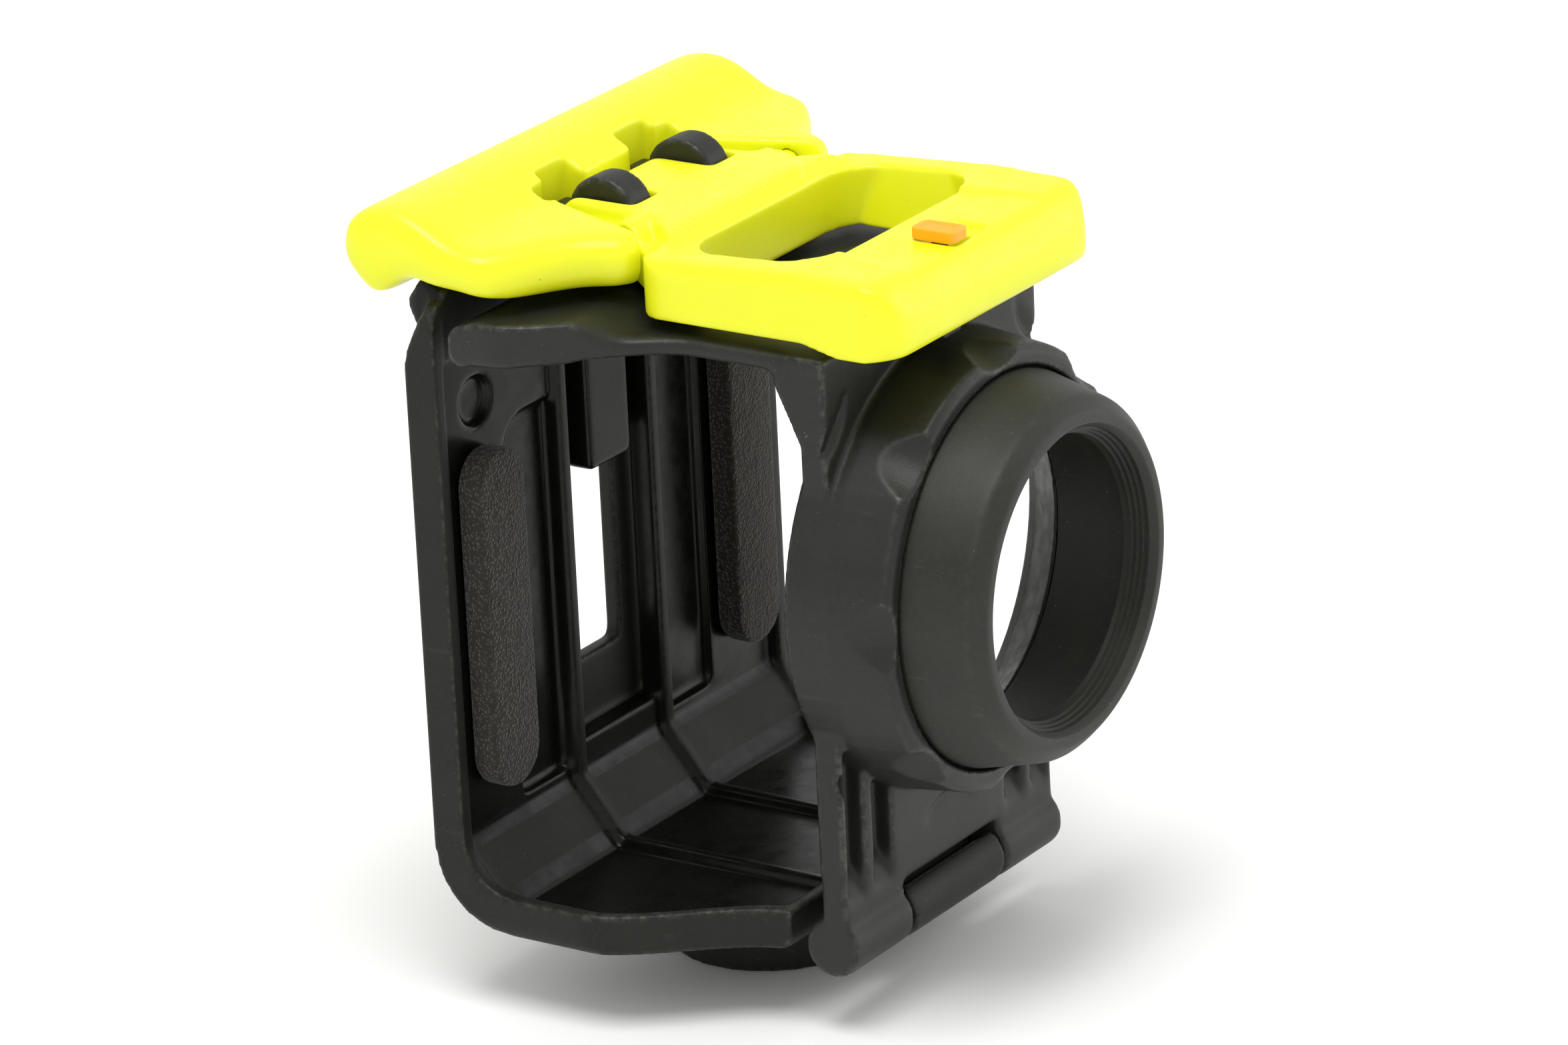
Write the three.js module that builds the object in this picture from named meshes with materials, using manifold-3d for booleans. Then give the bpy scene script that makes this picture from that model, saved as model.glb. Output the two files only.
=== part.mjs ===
// Open skeleton housing for a small cube-shaped action camera.
// Millimetres, +Z up, lens towards -Y. The part stands on the round boss under its floor.
import * as THREE from 'three';
import { mergeVertices } from 'three/addons/utils/BufferGeometryUtils.js';
import Module from 'manifold-3d';

const wasm = await Module();
wasm.setup();

// ---------------------------------------------------------------- driving dimensions
// Working frame: Y = 0 on the seam between ring and barrel, Z = 0 on the lens axis.
const GAP = 0.3;                 // between pieces that touch
const PIN_CLEARANCE = 0.06;      // radial, pin in bore

const FRONT_HALF = 17.8;         // half width of the door
const REAR_HALF = 27.0;          // half width of the rear frame and of the hook plate
const FLARE_START = 13.0;        // Y range in which the plan widens from front to rear
const FLARE_END = 30.0;

const WALL_BACK = 45.4;          // rear face of the rear wall
const RIM_FRONT = 42.0;          // front face of the rim around the rear wall
const WALL_FRONT = 43.2;         // inner face of the rear wall
const POCKET_DEPTH = 0.9;
const FLOOR_BOTTOM = -32.8;
const FLOOR_RIM = -28.9;         // top of the rim along the floor
const FLOOR_TOP = -31.0;         // inner face of the floor
const FLOOR_FRONT = 13.2;
const RIM_WIDTH = 1.6;
const WALL_TOP = 26.8;
const CATCH_TOP = 28.4;
const CATCH_BACK = 45.9;
const CATCH_HALF = 25.0;
const BOSS = { radius: 9.8, y: 27.0, bottom: -40.2 };
const INSERT = { radius: 4.6, bore: 3.2, length: 6.0 };
const CHANNEL = { half: 6.4, bottom: -22, floor: 45.2 };    // upright channel in the wall's middle
const BACK_PANEL = { half: 8.4, bottom: -25, back: 46.9 };  // raised behind the channel
const WINDOW = { half: 3.9, bottom: -15.5, top: 21.0 };
const TONGUE = { half: 3.4, bottom: 3.4, front: 42.4, back: 45.4 };
const MARK = { radius: 2.3, x: 19.5, z: 15.4 };

const DOOR_FRONT = 7.2;
const DOOR_BACK = 9.9;
const ROOF_FLARE = [20.5, 36.5];  // Y range in which the roof widens
const HINGE = { y: 9.0, z: -31.8, radius: 2.8, rod: 1.2, half: 7.9 };
const PANEL_BOTTOM = -28.5;
const ROOF_BOTTOM = 22.1;
const ROOF_TOP = 23.9;
const ROOF_BACK = 40.6;
const ROOF_RIDGE = 25.8;         // top of the roof behind the lever
const ROOF_HOLE = { half: 12.3, front: 11.6, back: 21.8, corner: 3.5 };

const RING = {
  outer: 20.9, back: 10.4, seat: 18.3, lip: 19.5, sleeve: 16.3, stop: 15.4, stopY: 4.4, inner: 19.0,
  shoulder: 20.3, shoulderY: 0.5, taper: 5.8,
};
const SCALLOP = { count: 8, radius: 6.8, slope: 26.6, floor: 18.8 };   // floor: radius reached at Y = 0
const BARREL = { base: 18.0, rim: 16.2, mouth: 13.7, length: 7.1, sleeve: 16.0, bore: 15.2, lip: 3.0 };

const LEVER_PIN = { y: 36.5, z: 30.2, radius: 1.0, half: 8.7 };
const LUG = { inner: 4.6, outer: 8.0, radius: 3.6, tail: 42.7 };
const HOOK_PIN = { y: 30.8, z: 29.9, radius: 1.0, half: 16.9 };

const LEVER = { half: 17.6, front: 0, back: 26.8, bottom: 24.2, top: 31.4, rearTop: 30.5 };
const HUB = { half: 14.9, top: 32.0, crest: 25.3, shoulder: 2.0 };
const FINGER_HOLE = { half: 14.2, foot: 12.4, front: 10.1, back: 23.9, corner: 4.5 };
const REST = { half: 11.4, back: 9.4, floor: 30.9 };       // shallow recess along the front bar
const TRACK = { left: -3.3, right: 2.9, front: 2.6, back: 6.3, floor: 30.0 };
const LOCK = { left: -3.7, right: -1.0, front: 2.2, back: 6.7, top: 32.1 };
const BOLT = { left: -2.95, right: -1.75, front: 3.85, back: 5.05, top: 31.4, foot: 22.2, footTop: 23.0 };
const LOCK_TRAVEL = 3.5;

const HOOK = {
  front: 27.4, frontBottom: 26.9, bottom: 27.9, top: 32.0,
  frontHalf: 17.7, flareStart: 29.6, flareEnd: 37.8,
};
const FOAM = { inner: 16.5, outer: 23.6, front: 40.1, back: 42.9, bottom: -20.8, top: 11.5 };

const ORIGIN = { y: 22.5, z: BOSS.bottom };   // middle of the depth, underside of the boss

// ---------------------------------------------------------------- geometry helpers
const ROUND_STEP = THREE.MathUtils.degToRad(15);
const X = new THREE.Vector3(1, 0, 0);
const Y = new THREE.Vector3(0, 1, 0);
const Z = new THREE.Vector3(0, 0, 1);

// A closed solid from a three.js geometry, with its faces turned outwards.
function solid(geometry) {
  const bare = geometry.clone();
  bare.deleteAttribute('normal');
  bare.deleteAttribute('uv');
  const merged = mergeVertices(bare, 1e-4);
  const position = merged.attributes.position;
  const corner = [0, 1, 2].map(() => new THREE.Vector3());
  const triangles = [];
  let volume = 0;
  for (let i = 0; i < merged.index.count; i += 3) {
    const [a, b, c] = [0, 1, 2].map((k) => merged.index.getX(i + k));
    if (a === b || b === c || a === c) continue;
    corner[0].fromBufferAttribute(position, a);
    corner[1].fromBufferAttribute(position, b);
    corner[2].fromBufferAttribute(position, c);
    volume += corner[0].dot(corner[1].cross(corner[2]));
    triangles.push(a, b, c);
  }
  if (volume < 0) triangles.reverse();
  const mesh = new wasm.Mesh({
    numProp: 3,
    vertProperties: new Float32Array(position.array),
    triVerts: new Uint32Array(triangles),
  });
  return new wasm.Manifold(mesh);
}

const join = (...solids) => solids.reduce((sum, next) => sum.add(next));
const cut = (body, ...tools) => tools.reduce((rest, tool) => rest.subtract(tool), body);
const bothSides = (make) => join(make(1), make(-1));

// Outline whose corners are [u, v] or, rounded by a radius, [u, v, radius].
function outline(corners) {
  const points = [];
  const count = corners.length;
  corners.forEach(([u, v, radius = 0], i) => {
    const here = new THREE.Vector2(u, v);
    if (!radius) {
      points.push(here);
      return;
    }
    const before = new THREE.Vector2(...corners[(i + count - 1) % count]).sub(here).normalize();
    const after = new THREE.Vector2(...corners[(i + 1) % count]).sub(here).normalize();
    const half = Math.acos(THREE.MathUtils.clamp(before.dot(after), -1, 1)) / 2;
    const centre = before.clone().add(after).normalize().multiplyScalar(radius / Math.sin(half)).add(here);
    const tangent = radius / Math.tan(half);
    const start = before.multiplyScalar(tangent).add(here).sub(centre).angle();
    const end = after.multiplyScalar(tangent).add(here).sub(centre).angle();
    const turn = ((end - start + 3 * Math.PI) % (2 * Math.PI)) - Math.PI;
    const steps = Math.max(1, Math.ceil(Math.abs(turn) / ROUND_STEP));
    for (let s = 0; s <= steps; s += 1) {
      const angle = start + (turn * s) / steps;
      points.push(new THREE.Vector2(Math.cos(angle), Math.sin(angle)).multiplyScalar(radius).add(centre));
    }
  });
  return points;
}

function prism(points, depth, axes, offset) {
  const geometry = new THREE.ExtrudeGeometry(new THREE.Shape(points), { depth, bevelEnabled: false });
  geometry.applyMatrix4(new THREE.Matrix4().makeBasis(...axes).setPosition(offset));
  return solid(geometry);
}

const alongX = (corners, x0, x1) =>
  prism(outline(corners), x1 - x0, [Y, Z, X], X.clone().multiplyScalar(x0));
const alongY = (corners, y0, y1) =>
  prism(outline(corners), y1 - y0, [X, Z, Y.clone().negate()], Y.clone().multiplyScalar(y1));
const alongZ = (corners, z0, z1) =>
  prism(outline(corners), z1 - z0, [X, Y, Z], Z.clone().multiplyScalar(z0));

const rectangle = (u0, u1, v0, v1, radius = 0) =>
  [[u0, v0, radius], [u1, v0, radius], [u1, v1, radius], [u0, v1, radius]];

const block = (x0, x1, y0, y1, z0, z1) => alongZ(rectangle(x0, x1, y0, y1), z0, z1);

function rod(axis, radius, from, to, centre, sides = 24) {
  const geometry = new THREE.CylinderGeometry(radius, radius, to - from, sides);
  if (axis === X) geometry.rotateZ(-Math.PI / 2);
  if (axis === Z) geometry.rotateX(Math.PI / 2);
  const middle = axis.clone().multiplyScalar((from + to) / 2);
  return solid(geometry.translate(...middle.add(centre).toArray()));
}

const rodX = (radius, x0, x1, y, z, sides) => rod(X, radius, x0, x1, new THREE.Vector3(0, y, z), sides);
const rodY = (radius, y0, y1, x, z, sides) => rod(Y, radius, y0, y1, new THREE.Vector3(x, 0, z), sides);
const rodZ = (radius, z0, z1, x, y, sides) => rod(Z, radius, z0, z1, new THREE.Vector3(x, y, 0), sides);

// Ring turned about the lens axis from a closed outline of [radius, y] corners.
function turned(corners, sides = 72) {
  const points = outline(corners);
  points.push(points[0].clone());
  return solid(new THREE.LatheGeometry(points, sides));
}

// Half width in plan: narrow at the front, wide at the rear, along a smooth S.
function halfWidth(y, front = FRONT_HALF, start = FLARE_START, end = FLARE_END) {
  return front + (REAR_HALF - front) * THREE.MathUtils.smoothstep(y, start, end);
}

// The plan between two stations, drawn in by an inset.
function plan(y0, y1, inset, z0, z1, [start, end] = [FLARE_START, FLARE_END]) {
  const steps = 12;
  const side = [];
  for (let i = 0; i <= steps; i += 1) {
    const y = start + ((end - start) * i) / steps;
    if (y > y0 && y < y1) side.push([halfWidth(y, FRONT_HALF, start, end) - inset, y]);
  }
  side.unshift([halfWidth(y0, FRONT_HALF, start, end) - inset, y0]);
  side.push([halfWidth(y1, FRONT_HALF, start, end) - inset, y1]);
  const other = side.map(([x, y]) => [-x, y]).reverse();
  return alongZ([...side, ...other], z0, z1);
}

// ---------------------------------------------------------------- rear frame
function rearFrame() {
  const shell = alongX([
    [FLOOR_FRONT, FLOOR_BOTTOM, 1.2],
    [WALL_BACK, FLOOR_BOTTOM, 8],
    [WALL_BACK, WALL_TOP - 5.5, 5],
    [RIM_FRONT + 1.0, WALL_TOP, 0.7],
    [RIM_FRONT, WALL_TOP],
    [RIM_FRONT, FLOOR_RIM, 5],
    [FLOOR_FRONT, FLOOR_RIM],
  ], -REAR_HALF, REAR_HALF);
  const corners = alongY(rectangle(-REAR_HALF, REAR_HALF, FLOOR_BOTTOM - 1, WALL_TOP, 2.5), 0, 50);
  let frame = shell.intersect(plan(FLOOR_FRONT, WALL_BACK + 1, 0, FLOOR_BOTTOM - 1, WALL_TOP + 1));
  frame = frame.intersect(corners);

  // The tray inside the rim, with a sloping face where floor meets wall.
  const tray = alongX([
    [FLOOR_FRONT + 1.4, FLOOR_TOP],
    [WALL_FRONT - 5.0, FLOOR_TOP],
    [WALL_FRONT, FLOOR_TOP + 6.0],
    [WALL_FRONT, WALL_TOP - RIM_WIDTH],
    [FLOOR_FRONT + 1.4, WALL_TOP - RIM_WIDTH],
  ], -REAR_HALF, REAR_HALF);
  const inside = plan(FLOOR_FRONT + 1.4, WALL_BACK, RIM_WIDTH, FLOOR_BOTTOM, WALL_TOP);
  frame = cut(frame, tray.intersect(inside));

  // Tall pockets between the pad lands and the middle channel, and the middle channel itself.
  const pocketBack = WALL_FRONT + POCKET_DEPTH;
  const pocket = (side) => alongY(side > 0
    ? [[8.2, -24, 1], [15.6, -24, 1], [15.6, 12.2, 3.6], [8.2, 12.2, 0.6]]
    : [[-15.6, -24, 1], [-8.2, -24, 1], [-8.2, 12.2, 0.6], [-15.6, 12.2, 3.6]], RIM_FRONT, pocketBack);
  frame = cut(frame, bothSides(pocket));

  const panel = alongY(
    rectangle(-BACK_PANEL.half, BACK_PANEL.half, BACK_PANEL.bottom, WINDOW.top + 1.0, 2.5),
    WALL_BACK - 1, BACK_PANEL.back);
  const channel = alongY(rectangle(-CHANNEL.half, CHANNEL.half, CHANNEL.bottom, WINDOW.top - 1.0, 1),
    RIM_FRONT, CHANNEL.floor);
  frame = cut(join(frame, panel), channel);

  // Ribs that run down the wall, across the corner and along the floor.
  const rise = 0.9;
  const rib = (side) => alongX([
    [FLOOR_FRONT + 1.4, FLOOR_TOP - 0.3],
    [WALL_FRONT - 4.8, FLOOR_TOP - 0.3],
    [WALL_FRONT + 0.3, FLOOR_TOP + 6.2],
    [WALL_FRONT + 0.3, WINDOW.top + 1.5],
    [WALL_FRONT - rise, WINDOW.top + 0.6],
    [WALL_FRONT - rise, FLOOR_TOP + 6.2],
    [WALL_FRONT - 5.2, FLOOR_TOP + rise],
    [FLOOR_FRONT + 1.4, FLOOR_TOP + rise],
  ], side * 7.2 - 0.8, side * 7.2 + 0.8);
  frame = join(frame, bothSides(rib));

  // Round marks beside the top of each pad.
  const mark = (side) => rodY(MARK.radius, WALL_FRONT - 0.1, WALL_FRONT + 0.7, side * MARK.x, MARK.z);
  frame = cut(frame, bothSides(mark));

  // Window with a stop tongue hanging in it.
  frame = cut(frame, alongY(
    rectangle(-WINDOW.half, WINDOW.half, WINDOW.bottom, WINDOW.top, 0.8), 40, 50));
  frame = join(frame, alongY(
    rectangle(-TONGUE.half, TONGUE.half, TONGUE.bottom, WINDOW.top + 0.5, 0.7), TONGUE.front, TONGUE.back));

  // Catch bar that the hook plate closes over.
  frame = join(frame, alongX([
    [RIM_FRONT, 21.0],
    [WALL_BACK - 1.4, 21.0],
    [CATCH_BACK, 25.4],
    [CATCH_BACK, 26.4],
    [CATCH_BACK - 1.4, CATCH_TOP],
    [RIM_FRONT, CATCH_TOP - 1.1],
  ], -CATCH_HALF, CATCH_HALF));

  // Boss under the floor, bored for its threaded insert.
  frame = join(frame, rodZ(BOSS.radius, BOSS.bottom, FLOOR_TOP - 0.4, 0, BOSS.y, 48));
  frame = cut(frame,
    rodZ(INSERT.radius + GAP, BOSS.bottom - 1, BOSS.bottom + INSERT.length + GAP, 0, BOSS.y, 32));

  // Clip that snaps over the hinge rod, joined to the floor by a tab.
  const clipHalf = HINGE.half - GAP;
  frame = join(frame,
    rodX(HINGE.radius, -clipHalf, clipHalf, HINGE.y, HINGE.z, 36),
    block(-clipHalf, clipHalf, HINGE.y, FLOOR_FRONT + 2, FLOOR_BOTTOM, FLOOR_RIM));
  const mouth = alongX([
    [HINGE.y - 0.95, HINGE.z],
    [HINGE.y + 0.95, HINGE.z],
    [HINGE.y + 1.4, HINGE.z + 5],
    [HINGE.y - 1.4, HINGE.z + 5],
  ], -clipHalf - 1, clipHalf + 1);
  return cut(frame, rodX(HINGE.rod + PIN_CLEARANCE, -9, 9, HINGE.y, HINGE.z), mouth);
}

function tripodInsert() {
  const bottom = BOSS.bottom + GAP;
  const top = BOSS.bottom + INSERT.length;
  const bush = rodZ(INSERT.radius, bottom, top, 0, BOSS.y, 32);
  return cut(bush, rodZ(INSERT.bore, bottom - 1, top + 1, 0, BOSS.y, 32));
}

function foamPad(side) {
  const radius = (FOAM.outer - FOAM.inner) / 2 - 0.05;
  const [x0, x1] = side > 0 ? [FOAM.inner, FOAM.outer] : [-FOAM.outer, -FOAM.inner];
  return alongY(rectangle(x0, x1, FOAM.bottom, FOAM.top, radius), FOAM.front, FOAM.back);
}

// ---------------------------------------------------------------- front door
function frontDoor() {
  // Plate across the front with a notch for the hinge clip.
  const plate = alongY([
    [-FRONT_HALF, HINGE.z], [-HINGE.half, HINGE.z], [-HINGE.half, PANEL_BOTTOM],
    [HINGE.half, PANEL_BOTTOM], [HINGE.half, HINGE.z], [FRONT_HALF, HINGE.z],
    [FRONT_HALF, ROOF_TOP], [-FRONT_HALF, ROOF_TOP],
  ], DOOR_FRONT, DOOR_BACK);
  const ear = (side) => rodX(HINGE.radius,
    Math.min(side * HINGE.half, side * FRONT_HALF), Math.max(side * HINGE.half, side * FRONT_HALF),
    HINGE.y, HINGE.z, 36);
  let door = join(plate, bothSides(ear));

  // Two upright grooves on each side of the panel, running out above the feet.
  const groove = (from, to) => alongX([
    [DOOR_FRONT - 1, -29.5], [DOOR_FRONT + 2.0, -24.5], [DOOR_FRONT + 2.0, 0], [DOOR_FRONT - 1, 0],
  ], from, to);
  for (const [from, to] of [[9.7, 12.6], [14.2, 16.9]]) {
    door = cut(door, groove(from, to), groove(-to, -from));
  }

  // Roof, flat under the lever and thicker behind it.
  const roof = alongX([
    [DOOR_FRONT, ROOF_BOTTOM],
    [27.0, ROOF_BOTTOM],
    [ROOF_BACK, ROOF_BOTTOM - 0.8, 1.2],
    [ROOF_BACK, ROOF_RIDGE - 1.0, 1.6],
    [37.5, ROOF_RIDGE, 3],
    [29.8, ROOF_RIDGE, 2],
    [26.6, ROOF_TOP, 2],
    [DOOR_FRONT, ROOF_TOP],
  ], -REAR_HALF, REAR_HALF).intersect(plan(DOOR_FRONT, ROOF_BACK + 1, 0, 10, 40, ROOF_FLARE));
  const gusset = (side) => alongX([
    [DOOR_BACK - 0.5, 15.6], [DOOR_BACK, 15.6], [12.9, ROOF_BOTTOM], [12.9, ROOF_BOTTOM + 0.5],
    [DOOR_BACK - 0.5, ROOF_BOTTOM + 0.5],
  ], Math.min(side * 13, side * FRONT_HALF), Math.max(side * 13, side * FRONT_HALF));
  door = join(door, roof, bothSides(gusset));
  door = cut(door, alongZ(rectangle(-ROOF_HOLE.half, ROOF_HOLE.half,
    ROOF_HOLE.front, ROOF_HOLE.back, ROOF_HOLE.corner), 15, 30));
  // Clear the roof's rear middle from below, leaving its edge beams.
  door = cut(door, block(-22, 22, 29.5, 38.6, 15, 23.6));

  // Ring around the lens opening.
  const ring = turned([
    [RING.sleeve, 0.9], [RING.seat, 0.9], [RING.seat, 0], [RING.lip, 0],
    [RING.shoulder, RING.shoulderY], [RING.outer, RING.taper], [RING.outer, RING.back],
    [RING.outer - 0.5, RING.back], [RING.inner, RING.back - 1.8],
    [RING.stop, RING.stopY], [RING.sleeve, RING.stopY],
  ]);
  door = cut(door, rodY(RING.outer - 0.4, 0, RING.back + 1, 0, 0, 72));
  door = join(door, ring);
  // Scallops that run out backwards from the ring's front edge.
  const slope = THREE.MathUtils.degToRad(SCALLOP.slope);
  for (let i = 0; i < SCALLOP.count; i += 1) {
    const dent = new THREE.CylinderGeometry(SCALLOP.radius, SCALLOP.radius, 18, 48).rotateX(slope);
    dent.translate(0, -SCALLOP.radius * Math.sin(slope), SCALLOP.floor + SCALLOP.radius * Math.cos(slope));
    door = cut(door, solid(dent.rotateY((2 * Math.PI * i) / SCALLOP.count)));
  }

  // Lugs that carry the lever's pin.
  const lug = (side) => {
    const [x0, x1] = side > 0 ? [LUG.inner, LUG.outer] : [-LUG.outer, -LUG.inner];
    return join(
      rodX(LUG.radius, x0, x1, LEVER_PIN.y, LEVER_PIN.z, 32),
      block(x0, x1, LEVER_PIN.y - LUG.radius, ROOF_BACK - 0.3, 23.7, LEVER_PIN.z),
      block(x0, x1, LEVER_PIN.y, LUG.tail, 28.9, LEVER_PIN.z + 0.1));
  };
  door = join(door, bothSides(lug));

  // Forked keeper that the bolt's foot slides under.
  door = join(door, block(0.1, 4.3, 2.6, DOOR_FRONT + 0.2, 23.2, ROOF_TOP));
  door = cut(door, block(0, BOLT.right + LOCK_TRAVEL + GAP, BOLT.front - GAP, BOLT.back + GAP, 22, 25));

  return cut(door,
    rodX(LEVER_PIN.radius + PIN_CLEARANCE, -20, 20, LEVER_PIN.y, LEVER_PIN.z),
    rodX(HINGE.rod + PIN_CLEARANCE, -16.6, 16.6, HINGE.y, HINGE.z));
}

function lensBarrel() {
  const step = 0.45;
  const thread = [];
  for (let i = 0; i < 4; i += 1) {
    const radius = BARREL.mouth - 0.25 * i;
    thread.push([radius, -BARREL.length + 0.7 + step * i], [radius, -BARREL.length + 0.7 + step * (i + 1)]);
  }
  return turned([
    [BARREL.bore, RING.stopY - GAP],
    [BARREL.sleeve, RING.stopY - GAP],
    [BARREL.sleeve, 0.6],
    [BARREL.base, 0.6],
    [BARREL.base, 0],
    [BARREL.rim + 0.3, -BARREL.length + 1.2, 0.6],
    [BARREL.rim - 0.9, -BARREL.length, 0.6],
    [BARREL.mouth + 0.5, -BARREL.length, 0.3],
    ...thread,
    [BARREL.mouth - 0.9, -BARREL.length + BARREL.lip],
    [BARREL.bore, -BARREL.length + BARREL.lip],
  ]);
}

const hingeRod = () => rodX(HINGE.rod, -16.3, 16.3, HINGE.y, HINGE.z);

// ---------------------------------------------------------------- latch
function latchLever() {
  const { half, front, back, bottom, top, rearTop } = LEVER;
  let lever = alongZ([
    [-half, front, 3.4], [half, front, 3.4], [half, back, 2.6], [-half, back, 2.6],
  ], bottom, top);
  // Side profile: rounded nose, underside rising behind the front bar.
  lever = lever.intersect(alongX([
    [front, bottom - 0.1], [front + 5.6, bottom - 0.1], [front + 9.6, bottom + 0.9],
    [back + 8, bottom + 0.9], [back + 8, rearTop - 0.4], [back, rearTop],
    [front + 10.5, top, 8], [front + 1.8, top - 0.25, 1.8],
    [front, top - 3.2, 2],
  ], -half, half));

  // Hub that tapers towards the pin, highest behind the finger hole,
  // with rounded shoulders over the hook pin.
  const hub = join(
    alongZ([
      [-HUB.half, 23.5], [HUB.half, 23.5], [HUB.half, 25.7], [9.8, 38.9], [9.8, 41.5],
      [-9.8, 41.5], [-9.8, 38.9], [-HUB.half, 25.7],
    ], bottom, 30.0),
    alongZ([
      [-14.5, 23.5], [14.5, 23.5], [14.5, 24.4], [10.8, 28.6, 4], [9.4, 33.6, 4], [9.3, 41.5],
      [-9.3, 41.5], [-9.4, 33.6, 4], [-10.8, 28.6, 4], [-14.5, 24.4],
    ], 29.9, HUB.top));
  const hubSide = alongX([
    [FINGER_HOLE.back, rearTop], [FINGER_HOLE.back, bottom + 0.9], [26.2, bottom + 0.9, 1],
    [30.0, 26.8, 1.5], [34.5, 27.2, 2], [LEVER_PIN.y, 26.6, 2],
    [40.2, 27.6, 2.4], [40.4, 31.6, 2.4], [38.0, HUB.top, 1], [HUB.crest, HUB.top, 1],
  ], -16, 16);
  const hole = (grow) => rectangle(-FINGER_HOLE.half + grow, FINGER_HOLE.half - grow,
    FINGER_HOLE.front, FINGER_HOLE.back, FINGER_HOLE.corner);
  const taper = FINGER_HOLE.half - FINGER_HOLE.foot;
  const taperSides = alongY([
    [-FINGER_HOLE.foot, bottom - 1], [FINGER_HOLE.foot, bottom - 1],
    [FINGER_HOLE.foot + taper, top], [FINGER_HOLE.foot + taper, top + 3],
    [-FINGER_HOLE.foot - taper, top + 3], [-FINGER_HOLE.foot - taper, top],
  ], 5, 30);
  lever = cut(lever, alongZ(hole(0), 20, 40).intersect(taperSides));
  const shoulders = rodX(HUB.shoulder, -HUB.half, HUB.half, HOOK_PIN.y, HOOK_PIN.z, 32).intersect(
    alongZ([[-14.6, 25.7], [14.6, 25.7], [9.5, 38.9], [-9.5, 38.9]], 20, 40));
  lever = join(lever, hub.intersect(hubSide), shoulders);
  const slot = (side) => {
    const [x0, x1] = side > 0 ? [LUG.inner - GAP, LUG.outer + GAP] : [-LUG.outer - GAP, -LUG.inner + GAP];
    return join(
      block(x0, x1, LEVER_PIN.y, 45, 20, 40),
      block(x0, x1, LEVER_PIN.y - LUG.radius - 0.5, LEVER_PIN.y, 20, LEVER_PIN.z),
      rodX(LUG.radius + 0.5, x0, x1, LEVER_PIN.y, LEVER_PIN.z, 32));
  };
  lever = cut(lever, bothSides(slot));

  // Lock track with the slot that the bolt passes through.
  lever = cut(lever,
    alongZ([
      [-REST.half, front - 1], [REST.half, front - 1], [REST.half, 3], [REST.half - 1.6, REST.back + 1],
      [1.6 - REST.half, REST.back + 1], [-REST.half, 3],
    ], REST.floor, top + 1),
    block(TRACK.left, TRACK.right, TRACK.front, TRACK.back, TRACK.floor, top + 1),
    block(BOLT.left - GAP, BOLT.right + LOCK_TRAVEL + GAP, BOLT.front - GAP, BOLT.back + GAP, 20, 40));

  const boreHalf = LEVER_PIN.half + PIN_CLEARANCE;
  return cut(lever,
    rodX(LEVER_PIN.radius + PIN_CLEARANCE, -boreHalf, boreHalf, LEVER_PIN.y, LEVER_PIN.z),
    rodX(HOOK_PIN.radius + PIN_CLEARANCE, -25, 25, HOOK_PIN.y, HOOK_PIN.z));
}

function lockButton() {
  const button = alongZ(
    rectangle(LOCK.left, LOCK.right, LOCK.front, LOCK.back, 0.6), REST.floor + 0.05, LOCK.top);
  const recess = block(
    BOLT.left - 0.05, BOLT.right + 0.05, BOLT.front - 0.05, BOLT.back + 0.05, 30, BOLT.top + 0.05);
  return cut(button, recess);
}

function lockBolt() {
  const { left, right, front, back, foot, footTop } = BOLT;
  return join(
    block(left, right, front, back, foot, BOLT.top),
    block(LOCK.left, LOCK.right, front - 0.5, back + 0.5, foot, footTop));
}

const leverPin = () => rodX(LEVER_PIN.radius, -LEVER_PIN.half, LEVER_PIN.half, LEVER_PIN.y, LEVER_PIN.z);
const hookPin = () => rodX(HOOK_PIN.radius, -HOOK_PIN.half, HOOK_PIN.half, HOOK_PIN.y, HOOK_PIN.z);

function latchHook() {
  // Side profile: flat plate, raised ridge at the rear and a lip that drops behind the catch.
  const profile = alongX([
    [HOOK.front, HOOK.frontBottom, 1.8],
    [35.0, HOOK.frontBottom, 3],
    [39.0, HOOK.bottom, 3],
    [42.4, HOOK.bottom],
    [44.9, 28.9, 0.5],
    [47.0, 27.0],
    [48.9, 26.2, 1.2],
    [52.1, 29.6, 2.4],
    [51.6, 33.6, 2.4],
    [47.6, 35.1, 3],
    [44.6, 34.7, 3],
    [40.0, HOOK.top, 4],
    [HOOK.front, HOOK.top, 1.8],
  ], -REAR_HALF, REAR_HALF);
  const side = [];
  for (let i = 0; i <= 10; i += 1) {
    const y = HOOK.flareStart + ((HOOK.flareEnd - HOOK.flareStart) * i) / 10;
    side.push([halfWidth(y, HOOK.frontHalf, HOOK.flareStart, HOOK.flareEnd), y]);
  }
  const shape = [[HOOK.frontHalf, HOOK.front, 2.1], ...side, [REAR_HALF, 53]];
  const mirrored = shape.map(([x, y, r]) => [-x, y, r]).reverse();
  let hook = profile.intersect(alongZ([...mirrored, ...shape], 20, 40));

  // Mouth for the lever's hub, with a stepped notch for each lug.
  hook = cut(hook, alongZ([
    [-15.3, 26], [15.3, 26], [10.3, 39.2], [10.3, 41.0, 0.6], [-10.3, 41.0, 0.6], [-10.3, 39.2],
  ], 20, 40));
  const notch = (s) => join(
    block(Math.min(s * 3.9, s * 8.7), Math.max(s * 3.9, s * 8.7), 40, 43.2, 20, 40),
    block(Math.min(s * 8.0, s * 11.0), Math.max(s * 8.0, s * 11.0), 40, 42.0, 20, 40));
  hook = cut(hook, bothSides(notch));
  return cut(hook, rodX(HOOK_PIN.radius + PIN_CLEARANCE, -17.1, 17.1, HOOK_PIN.y, HOOK_PIN.z));
}

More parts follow.
